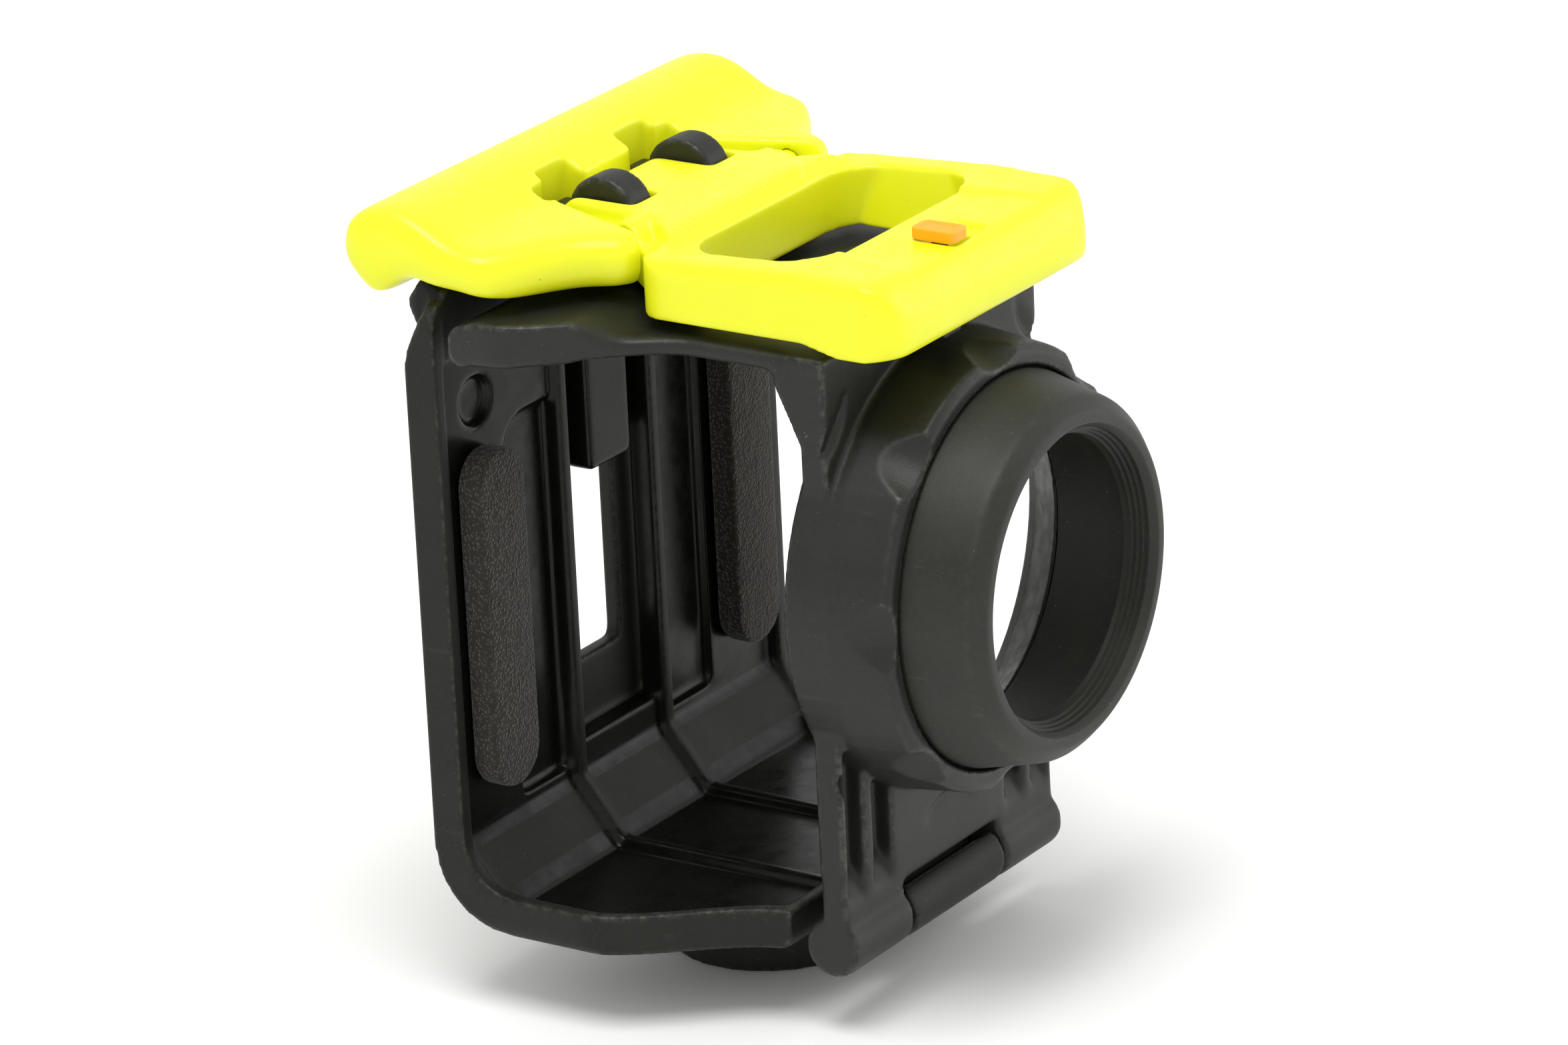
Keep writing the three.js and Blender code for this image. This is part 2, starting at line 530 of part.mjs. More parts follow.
// ---------------------------------------------------------------- assembly
const material = (color, roughness, metalness) => new THREE.MeshStandardMaterial(
  { color, roughness, metalness });
const plastic = (color, roughness = 0.5) => material(color, roughness, 0);
const metal = (color, roughness = 0.3) => material(color, roughness, 1);

const housing = new THREE.Group();
housing.position.set(0, -ORIGIN.y, -ORIGIN.z);

function place(name, body, material, parent = housing) {
  const { vertProperties, triVerts } = body.getMesh();
  const geometry = new THREE.BufferGeometry();
  geometry.setAttribute('position', new THREE.BufferAttribute(new Float32Array(vertProperties), 3));
  geometry.setIndex(new THREE.BufferAttribute(new Uint32Array(triVerts), 1));
  geometry.computeVertexNormals();
  const mesh = new THREE.Mesh(geometry, material);
  mesh.name = name;
  parent.add(mesh);
}

place('rear_frame', rearFrame(), plastic(0x2b2d28));
place('tripod_insert', tripodInsert(), metal(0xc9a24a));
place('foam_pad_left', foamPad(-1), plastic(0x302e26, 0.95));
place('foam_pad_right', foamPad(1), plastic(0x302e26, 0.95));

const door = new THREE.Group();
housing.add(door);
place('front_door', frontDoor(), plastic(0x30322c), door);
place('lens_barrel', lensBarrel(), plastic(0x34352f), door);
place('hinge_rod', hingeRod(), metal(0xb8b8b8), door);
place('lever_pin', leverPin(), metal(0xb8b8b8), door);

const latch = new THREE.Group();
door.add(latch);
place('latch_lever', latchLever(), plastic(0xf2f630, 0.4), latch);
place('latch_hook', latchHook(), plastic(0xf2f630, 0.4), latch);
place('hook_pin', hookPin(), plastic(0xf2f630, 0.4), latch);
place('lock_button', lockButton(), plastic(0xffb020, 0.4), latch);
place('lock_bolt', lockBolt(), plastic(0x2b2d28), latch);

export default housing;
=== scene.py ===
"""Looks for the open skeleton housing of a small cube-shaped action camera."""

import math

import bmesh
import bpy
import numpy as np
from mathutils import Matrix, Vector, noise


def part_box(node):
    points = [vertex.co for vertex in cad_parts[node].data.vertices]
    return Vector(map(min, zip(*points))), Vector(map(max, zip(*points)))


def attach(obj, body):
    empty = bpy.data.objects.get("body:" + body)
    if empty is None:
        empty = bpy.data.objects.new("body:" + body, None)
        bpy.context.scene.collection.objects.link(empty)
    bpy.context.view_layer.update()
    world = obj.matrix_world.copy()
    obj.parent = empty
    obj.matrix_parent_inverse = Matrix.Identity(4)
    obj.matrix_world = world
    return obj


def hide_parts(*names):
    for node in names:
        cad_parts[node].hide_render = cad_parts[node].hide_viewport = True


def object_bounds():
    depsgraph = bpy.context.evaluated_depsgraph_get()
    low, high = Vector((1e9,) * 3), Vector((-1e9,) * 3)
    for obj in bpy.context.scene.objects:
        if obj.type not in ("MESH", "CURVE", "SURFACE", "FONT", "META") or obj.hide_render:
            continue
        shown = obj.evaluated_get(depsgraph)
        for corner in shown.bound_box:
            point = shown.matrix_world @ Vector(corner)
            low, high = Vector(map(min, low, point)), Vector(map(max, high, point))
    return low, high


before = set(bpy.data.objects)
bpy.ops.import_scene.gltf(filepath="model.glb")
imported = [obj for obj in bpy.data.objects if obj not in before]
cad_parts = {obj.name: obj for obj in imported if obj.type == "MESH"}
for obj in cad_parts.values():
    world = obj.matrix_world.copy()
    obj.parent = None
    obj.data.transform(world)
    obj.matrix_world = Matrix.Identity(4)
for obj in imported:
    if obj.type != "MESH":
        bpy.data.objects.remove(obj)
CAD_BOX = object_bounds()
MM = 0.001

# ---------------------------------------------------------------- where things are
# Working millimetres: Y = 0 on the seam between ring and barrel, Z = 0 on the lens axis.
BARREL_LENGTH = 7.1
DOOR_HALF = 17.8                 # half width of the door
REAR_HALF = 27.0                 # half width of the rear frame and of the hook
FRAME_FLARE = (13, 30)           # Y range in which the frame's plan widens
ROOF_FLARE = (20.5, 36.5)        # the same for the roof
RING_OUTER = 20.9
RING_FLARE = 19.3                # radius of the ring's flare behind the lens seat
barrel_low, barrel_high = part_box("lens_barrel")
ORIGIN = Vector((0, barrel_low.y + BARREL_LENGTH * MM, (barrel_low.z + barrel_high.z) / 2))


def centre_of(node):
    low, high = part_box(node)
    return ((low + high) / 2 - ORIGIN) / MM


def half_width(y, flare):
    """Half width of the plan at y, widening smoothly over the flare."""
    start, end = flare
    t = np.clip((y - start) / (end - start), 0, 1)
    return DOOR_HALF + (REAR_HALF - DOOR_HALF) * t * t * (3 - 2 * t)


def window(value, low, high, soft):
    """1 between low and high, falling smoothly to 0 over soft on either side."""
    rise = np.clip((value - low) / soft + 0.5, 0, 1)
    fall = np.clip((high - value) / soft + 0.5, 0, 1)
    return rise * rise * (3 - 2 * rise) * fall * fall * (3 - 2 * fall)


# ---------------------------------------------------------------- mesh helpers
def new_object(name, mesh):
    obj = bpy.data.objects.new(name, mesh)
    bpy.context.scene.collection.objects.link(obj)
    return obj


def get_points(mesh):
    co = np.empty(len(mesh.vertices) * 3)
    mesh.vertices.foreach_get("co", co)
    return (co.reshape(-1, 3) - np.array(ORIGIN)) / MM


def set_points(mesh, points):
    mesh.vertices.foreach_set("co", (points * MM + np.array(ORIGIN)).ravel())
    mesh.update()


def get_edges(mesh):
    edges = np.empty(len(mesh.edges) * 2, dtype=np.int64)
    mesh.edges.foreach_get("vertices", edges)
    return edges.reshape(-1, 2)


def neighbour_mean(values, edges, degree):
    total = np.empty_like(values)
    a, b = edges[:, 0], edges[:, 1]
    for k in range(values.shape[1]):
        total[:, k] = (np.bincount(a, values[b, k], len(values))
                       + np.bincount(b, values[a, k], len(values)))
    return total / degree[:, None]


def relax(points, edges, passes, weight):
    """Rounds the surface off: more passes or more weight give a larger radius."""
    degree = np.maximum(np.bincount(edges.ravel(), minlength=len(points)), 1)
    weight = np.broadcast_to(weight, len(points))[:, None]
    for _ in range(passes):
        points = points + 0.5 * weight * (neighbour_mean(points, edges, degree) - points)
    return points


def store(mesh, name, values):
    layer = mesh.attributes.new(name, "FLOAT", "POINT")
    layer.data.foreach_set("value", np.asarray(values, dtype=np.float32))


def store_wear(mesh):
    """How convex the surface is at each point, which is where handling polishes it."""
    points, edges = get_points(mesh), get_edges(mesh)
    degree = np.maximum(np.bincount(edges.ravel(), minlength=len(points)), 1)
    normals = np.empty(len(points) * 3)
    mesh.vertices.foreach_get("normal", normals)
    normals = normals.reshape(-1, 3)
    bend = ((points - neighbour_mean(points, edges, degree)) * normals).sum(1)[:, None]
    for _ in range(3):
        bend = 0.5 * bend + 0.5 * neighbour_mean(bend, edges, degree)
    step = np.linalg.norm(points[edges[:, 0]] - points[edges[:, 1]], axis=1).mean()
    store(mesh, "wear", np.clip(bend[:, 0] / step * 9, 0, 1))


def remeshed(name, node, voxel, passes, weight=1.0, shape=None):
    """A dense, softened copy of a CAD node, whose points shape(points) may then move."""
    bm = bmesh.new()
    bm.from_mesh(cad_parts[node].data)
    bmesh.ops.remove_doubles(bm, verts=bm.verts, dist=1e-6)
    rough = bpy.data.meshes.new(name)
    bm.to_mesh(rough)
    bm.free()
    obj = new_object(name, rough)
    voxels = obj.modifiers.new("Voxels", "REMESH")
    voxels.mode = "VOXEL"
    voxels.voxel_size = voxel * MM
    graph = bpy.context.evaluated_depsgraph_get()
    mesh = bpy.data.meshes.new_from_object(obj.evaluated_get(graph))
    obj.modifiers.clear()
    obj.data = mesh
    bpy.data.meshes.remove(rough)
    points, edges = get_points(mesh), get_edges(mesh)
    points = relax(points, edges, passes, weight(points) if callable(weight) else weight)
    if shape:
        points = shape(points)
        points = relax(points, edges, 1, 1.0)
    set_points(mesh, points)
    mesh.shade_smooth()
    store_wear(mesh)
    return obj


def rounded(corners, step=math.radians(15)):
    """Closed outline from (u, v) or (u, v, radius) corners."""
    points = []
    count = len(corners)
    for i, corner in enumerate(corners):
        here = Vector(corner[:2])
        radius = corner[2] if len(corner) > 2 else 0
        if not radius:
            points.append(here)
            continue
        before = (Vector(corners[i - 1][:2]) - here).normalized()
        after = (Vector(corners[(i + 1) % count][:2]) - here).normalized()
        half = before.angle(after) / 2
        centre = here + (before + after).normalized() * (radius / math.sin(half))
        tangent = radius / math.tan(half)
        start = here + before * tangent - centre
        end = here + after * tangent - centre
        a0 = math.atan2(start.y, start.x)
        turn = (math.atan2(end.y, end.x) - a0 + 3 * math.pi) % (2 * math.pi) - math.pi
        steps = max(2, math.ceil(abs(turn) / step))
        points += [centre + radius * Vector((math.cos(a0 + turn * s / steps),
                                             math.sin(a0 + turn * s / steps)))
                   for s in range(steps + 1)]
    return points


def spaced(points, longest=0.5):
    """The same outline with its long straight runs divided."""
    out = []
    for a, b in zip(points, points[1:] + points[:1]):
        count = max(1, math.ceil((b - a).length / longest))
        out += [a.lerp(b, k / count) for k in range(count)]
    return out


def lathe(name, corners, axis, centre, sides=96):
    """Ring or rod turned from a closed outline of (radius, along) corners in millimetres."""
    across = {"X": (Vector((0, 1, 0)), Vector((0, 0, 1))),
              "Y": (Vector((0, 0, 1)), Vector((1, 0, 0))),
              "Z": (Vector((1, 0, 0)), Vector((0, 1, 0)))}[axis]
    along = across[0].cross(across[1])
    bm = bmesh.new()
    outline = [bm.verts.new((along * v + across[0] * max(u, 0)) + centre)
               for u, v in spaced(rounded(corners))]
    solid_rod = min(u for u, *_ in corners) < 1e-6
    if solid_rod:
        loop = [bm.edges.new(pair) for pair in zip(outline, outline[1:])]
    else:
        loop = [bm.edges.new(pair) for pair in zip(outline, outline[1:] + outline[:1])]
    bmesh.ops.spin(bm, geom=outline + loop, cent=centre, axis=along, angle=2 * math.pi, steps=sides,
                   use_merge=True)
    bmesh.ops.remove_doubles(bm, verts=bm.verts, dist=1e-5)
    bmesh.ops.recalc_face_normals(bm, faces=bm.faces)
    for vert in bm.verts:
        vert.co = vert.co * MM + ORIGIN
    mesh = bpy.data.meshes.new(name)
    bm.to_mesh(mesh)
    bm.free()
    mesh.shade_smooth()
    store_wear(mesh)
    return new_object(name, mesh)


def adopt(piece, node, body, material):
    piece.data.materials.clear()
    piece.data.materials.append(material)
    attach(piece, body)
    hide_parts(node)


# ---------------------------------------------------------------- materials
class Nodes:
    def __init__(self, name):
        self.material = bpy.data.materials.new(name)
        self.material.use_nodes = True
        self.tree = self.material.node_tree
        self.shader = self.tree.nodes["Principled BSDF"]
        self.place = self.tree.nodes.new("ShaderNodeTexCoord").outputs["Object"]

    def link(self, a, b):
        self.tree.links.new(a, b)

    def noise(self, size, detail=3.0, roughness=0.5, stretch=None, distortion=0.0):
        """Noise whose features are size millimetres across."""
        node = self.tree.nodes.new("ShaderNodeTexNoise")
        node.inputs["Scale"].default_value = 1 / (size * MM)
        node.inputs["Detail"].default_value = detail
        node.inputs["Roughness"].default_value = roughness
        node.inputs["Distortion"].default_value = distortion
        place = self.place
        if stretch:
            turn = self.tree.nodes.new("ShaderNodeMapping")
            turn.inputs["Rotation"].default_value = stretch[0]
            turn.inputs["Scale"].default_value = stretch[1]
            self.link(place, turn.inputs["Vector"])
            place = turn.outputs["Vector"]
        self.link(place, node.inputs["Vector"])
        return node.outputs["Fac"]

    def attribute(self, name):
        node = self.tree.nodes.new("ShaderNodeAttribute")
        node.attribute_name = name
        return node.outputs["Fac"]

    def ramp(self, value, low, high, to_low=0.0, to_high=1.0):
        node = self.tree.nodes.new("ShaderNodeMapRange")
        node.interpolation_type = "SMOOTHSTEP"
        for key, number in zip(("From Min", "From Max", "To Min", "To Max"), (low, high, to_low, to_high)):
            node.inputs[key].default_value = number
        self.link(value, node.inputs["Value"])
        return node.outputs["Result"]

    def maths(self, operation, a, b):
        node = self.tree.nodes.new("ShaderNodeMath")
        node.operation = operation
        for socket, value in zip(node.inputs, (a, b)):
            if isinstance(value, (int, float)):
                socket.default_value = value
            else:
                self.link(value, socket)
        return node.outputs[0]

    def mix(self, factor, a, b, blend="MIX"):
        node = self.tree.nodes.new("ShaderNodeMix")
        node.data_type = "RGBA"
        node.blend_type = blend
        for socket, value in zip((node.inputs[0], node.inputs[6], node.inputs[7]), (factor, a, b)):
            if isinstance(value, (int, float)):
                socket.default_value = value
            elif isinstance(value, tuple):
                socket.default_value = (*value, 1)
            else:
                self.link(value, socket)
        return node.outputs[2]

    def bump(self, height, distance, under=None):
        node = self.tree.nodes.new("ShaderNodeBump")
        node.inputs["Distance"].default_value = distance * MM
        node.inputs["Strength"].default_value = 1.0
        self.link(height, node.inputs["Height"])
        if under:
            self.link(under, node.inputs["Normal"])
        return node.outputs["Normal"]

    def finish(self, colour, roughness, normal):
        self.link(colour, self.shader.inputs["Base Color"])
        self.link(roughness, self.shader.inputs["Roughness"])
        self.link(normal, self.shader.inputs["Normal"])
        return self.material


def shade(colour, factor):
    return tuple(c * factor for c in colour)


def moulded(name, colour, rough, grain, polished=None, worn=None, specks=0.35, specular=0.5):
    """Moulded black plastic: sparked grain, soft mottling, rubbed edges, hairlines and dust.

    grain is (size, height) in millimetres. polished is the roughness where the inside mask is 1, and there
    the colour is also painted darker as painted shade.
    """
    n = Nodes(name)
    n.shader.inputs["Specular IOR Level"].default_value = specular
    broad = n.noise(9.0, 4.0, 0.6)
    fine = n.noise(0.5, 2.0)
    tone = n.mix(n.ramp(broad, 0.3, 0.7), shade(colour, 0.82), shade(colour, 1.2))
    tone = n.mix(n.ramp(fine, 0.35, 0.7, 0.0, 0.5), tone, shade(colour, 1.35))
    rubbed = n.maths("MULTIPLY", n.ramp(n.attribute("wear"), 0.25, 0.9),
                     n.ramp(n.noise(0.9, 4.0, 0.7), 0.42, 0.62))
    tone = n.mix(rubbed, tone, worn or shade(colour, 3.2))
    hair = n.noise(1.1, 3.0, 0.6, stretch=((0.5, 0.2, 0.9), (1.0, 0.06, 0.9)))
    hair = n.ramp(hair, 0.66, 0.72, 0.0, 0.35)
    tone = n.mix(hair, tone, shade(colour, 2.6))
    dust = n.maths("MULTIPLY", n.ramp(n.noise(0.28, 1.0), 0.74, 0.8), n.ramp(n.noise(2.4, 1.0), 0.5, 0.7))
    tone = n.mix(n.maths("MULTIPLY", dust, specks), tone, (0.3, 0.3, 0.27))
    roughness = n.ramp(broad, 0.2, 0.8, rough - 0.06, rough + 0.06)
    grain_height = grain[1]
    height = n.noise(grain[0], 2.0, 0.6)
    if polished is not None:
        # The inside mask makes the surface glossier and less grained, and also paints shade into its colour.
        inside_gloss_and_shade = n.attribute("inside_gloss_and_shade")
        even = n.ramp(inside_gloss_and_shade, 0.3, 0.7)
        spread = n.ramp(n.noise(2.5, 4.0, 0.65), 0.25, 0.75, polished - 0.06, polished + 0.1)
        gap = n.maths("SUBTRACT", spread, roughness)
        roughness = n.maths("ADD", roughness, n.maths("MULTIPLY", gap, even))
        height = n.maths("MULTIPLY", height, n.ramp(inside_gloss_and_shade, 0.3, 0.7, 1.0, 0.12))
        # Painted shade: inside the mask the colour is pulled most of the way to near-black, standing in for
        # the shade inside the frame and behind the lens seat.
        tone = n.mix(even, tone, n.mix(0.8, tone, shade(colour, 0.15)))
    roughness = n.maths("SUBTRACT", roughness, n.maths("MULTIPLY", rubbed, 0.12))
    normal = n.bump(height, grain_height)
    normal = n.bump(n.noise(14.0, 1.0), 0.12, normal)
    return n.finish(tone, roughness, normal)


def glossy_moulding(name, colour, deep, rough, glow):
    """Bright moulded plastic: even colour, slightly deeper in places, with fine flow marks."""
    n = Nodes(name)
    n.shader.inputs["Subsurface Weight"].default_value = glow
    n.shader.inputs["Subsurface Radius"].default_value = (1.0, 0.9, 0.25)
    n.shader.inputs["Subsurface Scale"].default_value = 0.9 * MM
    broad = n.noise(12.0, 3.0)
    tone = n.mix(n.ramp(broad, 0.3, 0.7, 0.0, 0.6), colour, deep)
    tone = n.mix(n.ramp(n.noise(0.6, 3.0, 0.6), 0.45, 0.75, 0.0, 0.25), tone, deep)
    marks = n.noise(0.8, 4.0, 0.7, stretch=((0.2, 0.1, 0.6), (1.0, 0.08, 1.0)))
    marks = n.ramp(marks, 0.68, 0.74, 0.0, 0.2)
    tone = n.mix(marks, tone, shade(deep, 0.8))
    specks = n.maths("MULTIPLY", n.ramp(n.noise(0.35, 1.0), 0.76, 0.8), n.ramp(n.noise(4.0, 1.0), 0.55, 0.7))
    tone = n.mix(n.maths("MULTIPLY", specks, 0.5), tone, (0.35, 0.33, 0.05))
    wear = n.ramp(n.attribute("wear"), 0.3, 1.0)
    roughness = n.ramp(n.noise(3.0, 3.0, 0.6), 0.25, 0.75, rough - 0.05, rough + 0.06)
    roughness = n.maths("SUBTRACT", roughness, n.maths("MULTIPLY", wear, 0.08))
    normal = n.bump(n.noise(0.22, 2.0), 0.006)
    normal = n.bump(n.noise(10.0, 1.0), 0.1, normal)
    return n.finish(tone, roughness, normal)


def open_cell_foam(name, colour):
    n = Nodes(name)
    n.shader.inputs["Specular IOR Level"].default_value = 0.2
    n.shader.inputs["Sheen Weight"].default_value = 0.25
    cells = n.tree.nodes.new("ShaderNodeTexVoronoi")
    cells.inputs["Scale"].default_value = 1 / (0.32 * MM)
    n.link(n.place, cells.inputs["Vector"])
    pore = n.ramp(cells.outputs["Distance"], 0.15, 0.6)
    tone = n.mix(n.ramp(n.noise(1.6, 4.0, 0.7), 0.35, 0.65), shade(colour, 0.7), shade(colour, 1.35))
    # Painted shade: the pores are darkened to a third of the foam's colour.
    tone = n.mix(n.ramp(pore, 0.0, 1.0, 0.0, 0.7), tone, shade(colour, 0.35))
    fleck = n.ramp(n.noise(0.3, 2.0), 0.66, 0.74, 0.0, 0.6)
    tone = n.mix(fleck, tone, shade(colour, 2.6))
    roughness = n.ramp(n.noise(0.8, 2.0), 0.2, 0.8, 0.85, 1.0)
    normal = n.bump(n.maths("SUBTRACT", n.noise(0.4, 3.0, 0.7), pore), 0.12)
    return n.finish(tone, roughness, normal)


def turned_metal(name, colour, rough):
    n = Nodes(name)
    n.shader.inputs["Metallic"].default_value = 1.0
    lines = n.noise(0.12, 3.0, 0.6)
    tone = n.mix(n.ramp(n.noise(2.0, 4.0, 0.6), 0.3, 0.7), shade(colour, 0.75), colour)
    tone = n.mix(n.ramp(n.attribute("wear"), 0.3, 1.0, 0.0, 0.6), tone, shade(colour, 1.15))
    roughness = n.ramp(lines, 0.3, 0.7, rough - 0.08, rough + 0.12)
    return n.finish(tone, roughness, n.bump(lines, 0.004))


BLACK = (0.0125, 0.0135, 0.0105)
black_frame = moulded("frame_plastic", BLACK, 0.46, (0.2, 0.012), polished=0.26, specular=0.2)
black_door = moulded("door_plastic", BLACK, 0.44, (0.2, 0.014), polished=0.4,
                     specular=0.35)
black_barrel = moulded("barrel_plastic", (0.017, 0.0175, 0.0135), 0.5, (0.14, 0.018), specks=0.5,
                       specular=0.35)
yellow = glossy_moulding("yellow_plastic", (0.86, 0.88, 0.012), (0.80, 0.83, 0.006), 0.36, 0.25)
orange = glossy_moulding("orange_plastic", (0.95, 0.42, 0.008), (0.9, 0.36, 0.004), 0.38, 0.25)
foam = open_cell_foam("foam", (0.034, 0.031, 0.022))
steel = turned_metal("steel", (0.62, 0.61, 0.59), 0.28)
brass = turned_metal("brass", (0.80, 0.56, 0.25), 0.3)

# ---------------------------------------------------------------- rear frame
rear = remeshed("frame_shell", "rear_frame", 0.3, 5)
p = get_points(rear.data)
# The frame's inside: glossier there, and painted darker as painted shade.
inside = (window(p[:, 2], -31.7, 40, 0.4) * window(p[:, 1], 14.5, 44.9, 0.5)
          * np.clip((half_width(p[:, 1], FRAME_FLARE) - 0.9 - np.abs(p[:, 0])) / 0.5, 0, 1)
          * np.clip((np.maximum(p[:, 1] - 42.3, -29.2 - p[:, 2])) / 0.3, 0, 1))
store(rear.data, "inside_gloss_and_shade", inside)
adopt(rear, "rear_frame", "frame", black_frame)

# ---------------------------------------------------------------- foam pads
for side in ("left", "right"):
    def crown(points):
        middle = centre_of("foam_pad_" + side)
        across = 1 - np.clip(np.abs(points[:, 0] - middle.x) / 3.6, 0, 1) ** 2
        along = 1 - np.clip(np.abs(points[:, 2] - middle.z) / 16.2, 0, 1) ** 6
        front = np.clip((middle.y - points[:, 1]) / 1.4, 0, 1)
        points[:, 1] += 0.28 * front * (1 - across * along)
        rough = np.array([noise.noise(Vector(q) * 2.1) + 0.5 * noise.noise(Vector(q) * 4.6) for q in points])
        points[:, 1] += 0.07 * front * (rough - 0.9)
        return points
    pad = remeshed("pad_" + side, "foam_pad_" + side, 0.26, 5, shape=crown)
    adopt(pad, "foam_pad_" + side, "frame", foam)

# ---------------------------------------------------------------- front door and barrel
def door_weight(points):
    """Rounds the roof's side edges and the feet, and keeps the ring's scallops crisp."""
    x, y, z = points.T
    side = half_width(y, ROOF_FLARE) - np.abs(x)
    roof = window(z, 21.4, 25.0, 0.6) * window(y, 11.0, 39.0, 1.0) * np.clip((2.2 - side) / 0.8, 0, 1)
    feet = np.clip((-24.0 - z) / 2.0, 0, 1)
    crisp = window(np.hypot(x, z), 17.5, RING_OUTER + 1.1, 0.6) * window(y, -1, 7.0, 0.6)
    return np.clip(0.13 + 0.8 * roof + 0.3 * feet - 0.1 * crisp, 0.03, 1)


door = remeshed("door_shell", "front_door", 0.26, 30, door_weight)
p = get_points(door.data)
# Behind the lens seat the ring's flare is glossier and painted darker as painted shade.
behind_seat = window(np.hypot(p[:, 0], p[:, 2]), 0, RING_FLARE, 0.3) * window(p[:, 1], 4.2, 10.8, 0.4)
store(door.data, "inside_gloss_and_shade", behind_seat)
adopt(door, "front_door", "door", black_door)

THREAD = [(13.7 - 0.25 * k, -BARREL_LENGTH + 0.7 + 0.45 * (k + j), 0.05) for k in range(4) for j in (0, 1)]
barrel = lathe("barrel_shell", [
    (15.2, 4.1, 0.1), (16.0, 4.1, 0.1), (16.0, 0.6, 0.08), (18.0, 0.6, 0.08), (18.0, 0.0, 0.12),
    (16.6, -5.8, 1.5), (15.2, -7.1, 0.8), (14.2, -7.1, 0.3), *THREAD, (12.8, -4.1, 0.12),
    (15.2, -4.1, 0.2)], "Y", Vector(), 180)
adopt(barrel, "lens_barrel", "door", black_barrel)

# ---------------------------------------------------------------- latch
def lever_weight(points):
    """Rounds the loop's outer edges, the nose and the hub's flanks."""
    x, y, z = points.T
    edge = np.minimum(17.6 - np.abs(x), y)
    arms = window(y, -1, 25.5, 1.0) * np.clip((z - 25.5) / 2, 0, 1)
    outer = np.clip(1 - (edge - 1.6) / 1.0, 0, 1) * arms
    nose = np.clip((3.0 - y) / 2.0, 0, 1)
    hub = window(y, 24.5, 40.0, 1.0) * window(np.abs(x), 9.2, 15.5, 0.6)
    return np.clip(0.05 + 0.4 * outer + 0.5 * nose + 0.25 * hub, 0, 1)


def lever_shape(points):
    """Steps the hub down outside its far arc and adds the fine serration before it."""
    x, y, z = points.T
    top = window(z, 31.2, 33, 0.6)
    far = np.hypot(x + 0.9, y - 35.0) - 13.0
    points[:, 2] -= 0.3 * top * window(y, 24.2, 33.0, 1.0) * np.clip(far / 0.35 + 0.5, 0, 1) * (x > 0)
    ticks = (window(y, 23.6, 26.4, 0.5) * window(x, -12.6, 6.2, 0.8) * window(z, 30.7, 33, 0.4)
             * (0.5 + 0.5 * np.sin(2 * math.pi * (x + 0.2 * y) / 0.93)))
    points[:, 1] += 0.11 * ticks
    points[:, 2] -= 0.11 * ticks
    return points


lever = remeshed("lever_shell", "latch_lever", 0.23, 110, lever_weight, lever_shape)
adopt(lever, "latch_lever", "lever", yellow)


def hook_weight(points):
    """Rounds everything but the notches of the mouth."""
    x, y, z = points.T
    mouth = np.clip((16.0 - np.abs(x)) / 1.5, 0, 1) * np.clip((45.0 - y) / 1.5, 0, 1)
    return np.clip(1 - 0.96 * mouth, 0, 1)


hook = remeshed("hook_shell", "latch_hook", 0.28, 120, hook_weight)
adopt(hook, "latch_hook", "hook", yellow)

def button_shape(points):
    """Sinks the middle of the button's top."""
    middle = centre_of("lock_button")
    x, y, z = points.T
    points[:, 2] -= 0.15 * (window(x - middle.x, -0.85, 0.85, 0.25) * window(y - middle.y, -1.6, 1.6, 0.25)
                            * np.clip((z - 31.7) / 0.2, 0, 1))
    return points


button = remeshed("button_shell", "lock_button", 0.1, 8, shape=button_shape)
adopt(button, "lock_button", "lock", orange)
bolt = remeshed("bolt_shell", "lock_bolt", 0.12, 4)
adopt(bolt, "lock_bolt", "lock", black_door)


def pin(name, node, body, radius, material):
    """A plain rod with broken edges in place of the node."""
    low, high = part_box(node)
    half = (high.x - low.x) / 2 / MM
    piece = lathe(name, [(0, -half), (radius, -half, 0.18), (radius, half, 0.18), (0, half)],
                  "X", centre_of(node), 48)
    adopt(piece, node, body, material)


pin("hinge_pin", "hinge_rod", "door", 1.2, steel)
pin("pivot_pin", "lever_pin", "door", 1.0, steel)
pin("hook_pivot", "hook_pin", "lever", 1.0, yellow)

insert_low, insert_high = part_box("tripod_insert")
half = (insert_high.z - insert_low.z) / 2 / MM
grooves = []
for k in range(4):
    top = half - 0.75 - 1.27 * k
    grooves += [(3.2, top, 0.06), (3.75, top - 0.5, 0.06), (3.75, top - 0.6, 0.06), (3.2, top - 1.1, 0.06)]
insert = lathe("insert_bush", [(3.5, -half, 0.1), (4.6, -half, 0.25), (4.6, half, 0.25), (3.5, half, 0.1),
                               *grooves], "Z", centre_of("tripod_insert"), 96)
adopt(insert, "tripod_insert", "frame", brass)

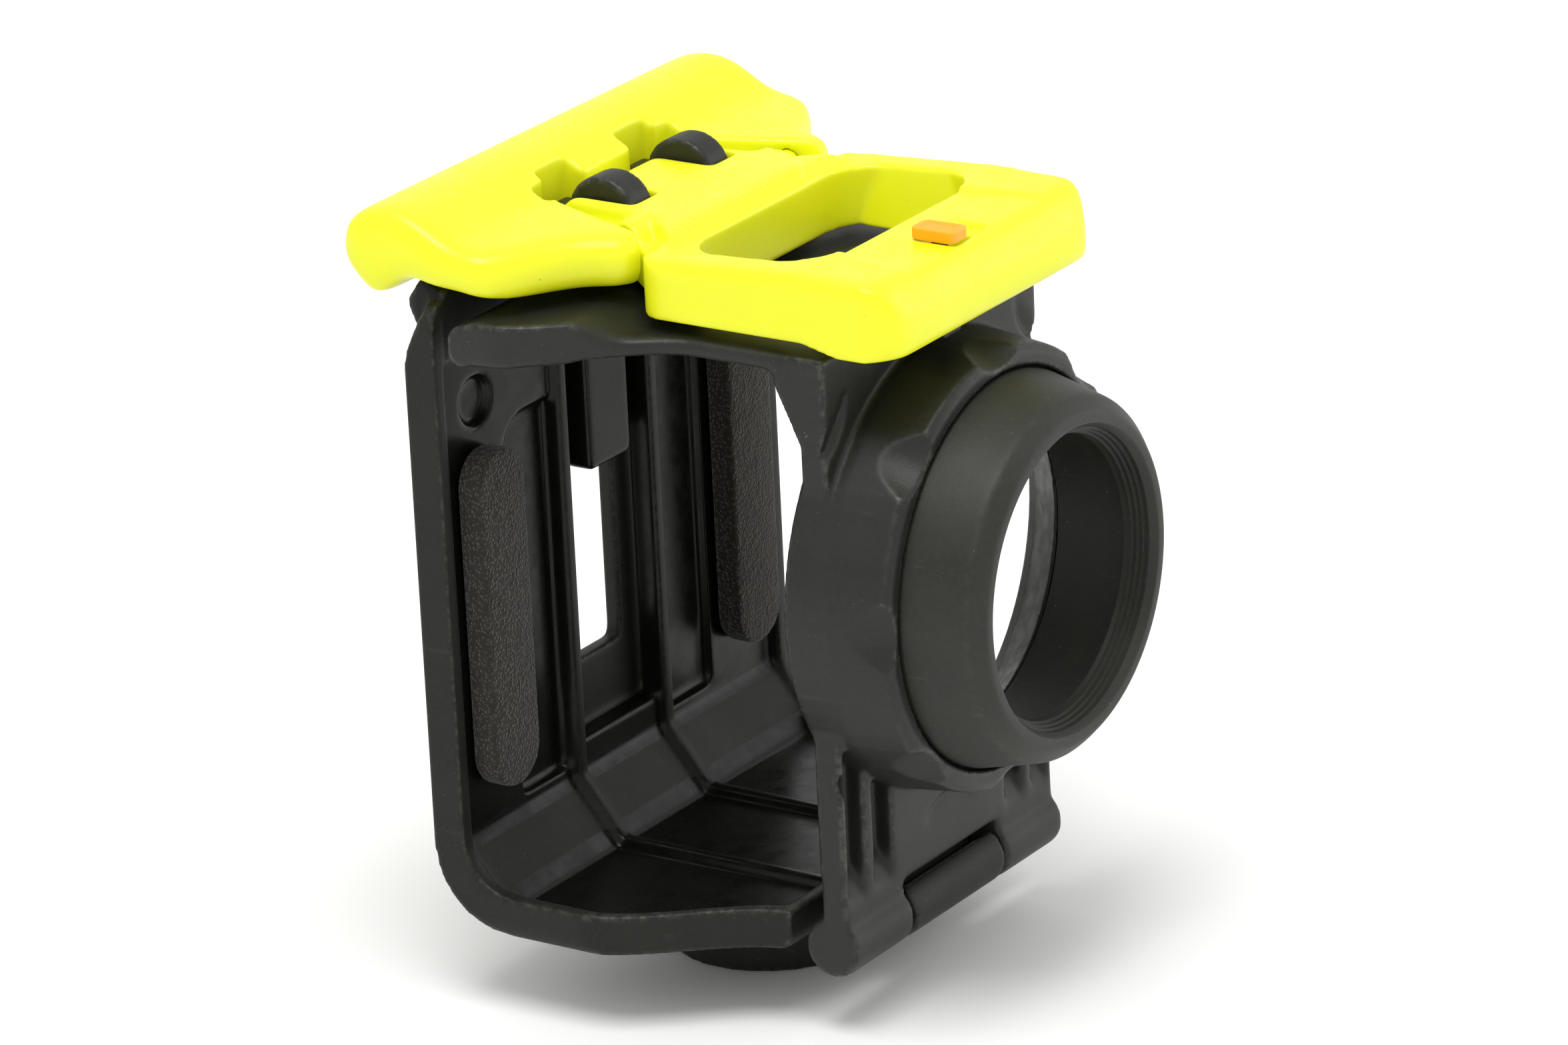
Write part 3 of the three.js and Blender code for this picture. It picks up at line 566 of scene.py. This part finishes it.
# ---------------------------------------------------------------- floor, light and camera
floor_mesh = bpy.data.meshes.new("floor")
bm = bmesh.new()
bmesh.ops.create_grid(bm, x_segments=4, y_segments=4, size=4.0)
bm.to_mesh(floor_mesh)
bm.free()
floor = new_object("floor", floor_mesh)
floor.location.z = CAD_BOX[0].z
paper = Nodes("floor_paper")
tone = paper.mix(paper.ramp(paper.noise(60.0), 0.3, 0.7), (0.93, 0.93, 0.92), (0.95, 0.95, 0.94))
floor.data.materials.append(paper.finish(tone, paper.ramp(paper.noise(5.0), 0.2, 0.8, 0.85, 0.95),
                                         paper.bump(paper.noise(1.0), 0.002)))

world = bpy.data.worlds.new("studio")
world.use_nodes = True
world.node_tree.nodes["Background"].inputs["Color"].default_value = (1.0, 1.0, 0.99, 1)
world.node_tree.nodes["Background"].inputs["Strength"].default_value = 0.82
bpy.context.scene.world = world
bpy.context.scene.view_settings.view_transform = "Standard"

middle = (CAD_BOX[0] + CAD_BOX[1]) / 2


def direction(azimuth, elevation):
    a, e = math.radians(azimuth), math.radians(elevation)
    return Vector((math.sin(a) * math.cos(e), -math.cos(a) * math.cos(e), math.sin(e)))


def softbox(name, azimuth, elevation, distance, size, watts):
    light = bpy.data.lights.new(name, "AREA")
    light.shape = "RECTANGLE"
    light.size, light.size_y = size
    light.energy = watts
    obj = bpy.data.objects.new(name, light)
    bpy.context.scene.collection.objects.link(obj)
    out = direction(azimuth, elevation)
    obj.location = middle + out * distance
    obj.rotation_euler = out.to_track_quat("Z", "Y").to_euler()


softbox("overhead", -70, 72, 0.75, (0.4, 0.4), 3.4)
softbox("front_right", 45, 15, 0.8, (0.5, 0.5), 1.1)

# The camera looks at the seam from the front left, a little above.
VIEW = {"azimuth": -56.17, "elevation": 20.14, "roll": -2.70, "distance": 0.7137}
FOCAL_MM = 184.47
AIM_MM = (19.98, -4.08)          # how far right of and above the frame's middle the seam is seen
camera = bpy.data.objects.new("camera", bpy.data.cameras.new("camera"))
bpy.context.scene.collection.objects.link(camera)
back = direction(VIEW["azimuth"], VIEW["elevation"])
turn = back.to_track_quat("Z", "Y").to_matrix() @ Matrix.Rotation(math.radians(VIEW["roll"]), 3, "Z")
right, up = turn.col[0], turn.col[1]
camera.matrix_world = Matrix.Translation(
    ORIGIN + back * VIEW["distance"] - (right * AIM_MM[0] + up * AIM_MM[1]) * MM) @ turn.to_4x4()
camera.data.sensor_width = 36
camera.data.lens = FOCAL_MM
camera.data.clip_end = 20
bpy.context.scene.camera = camera
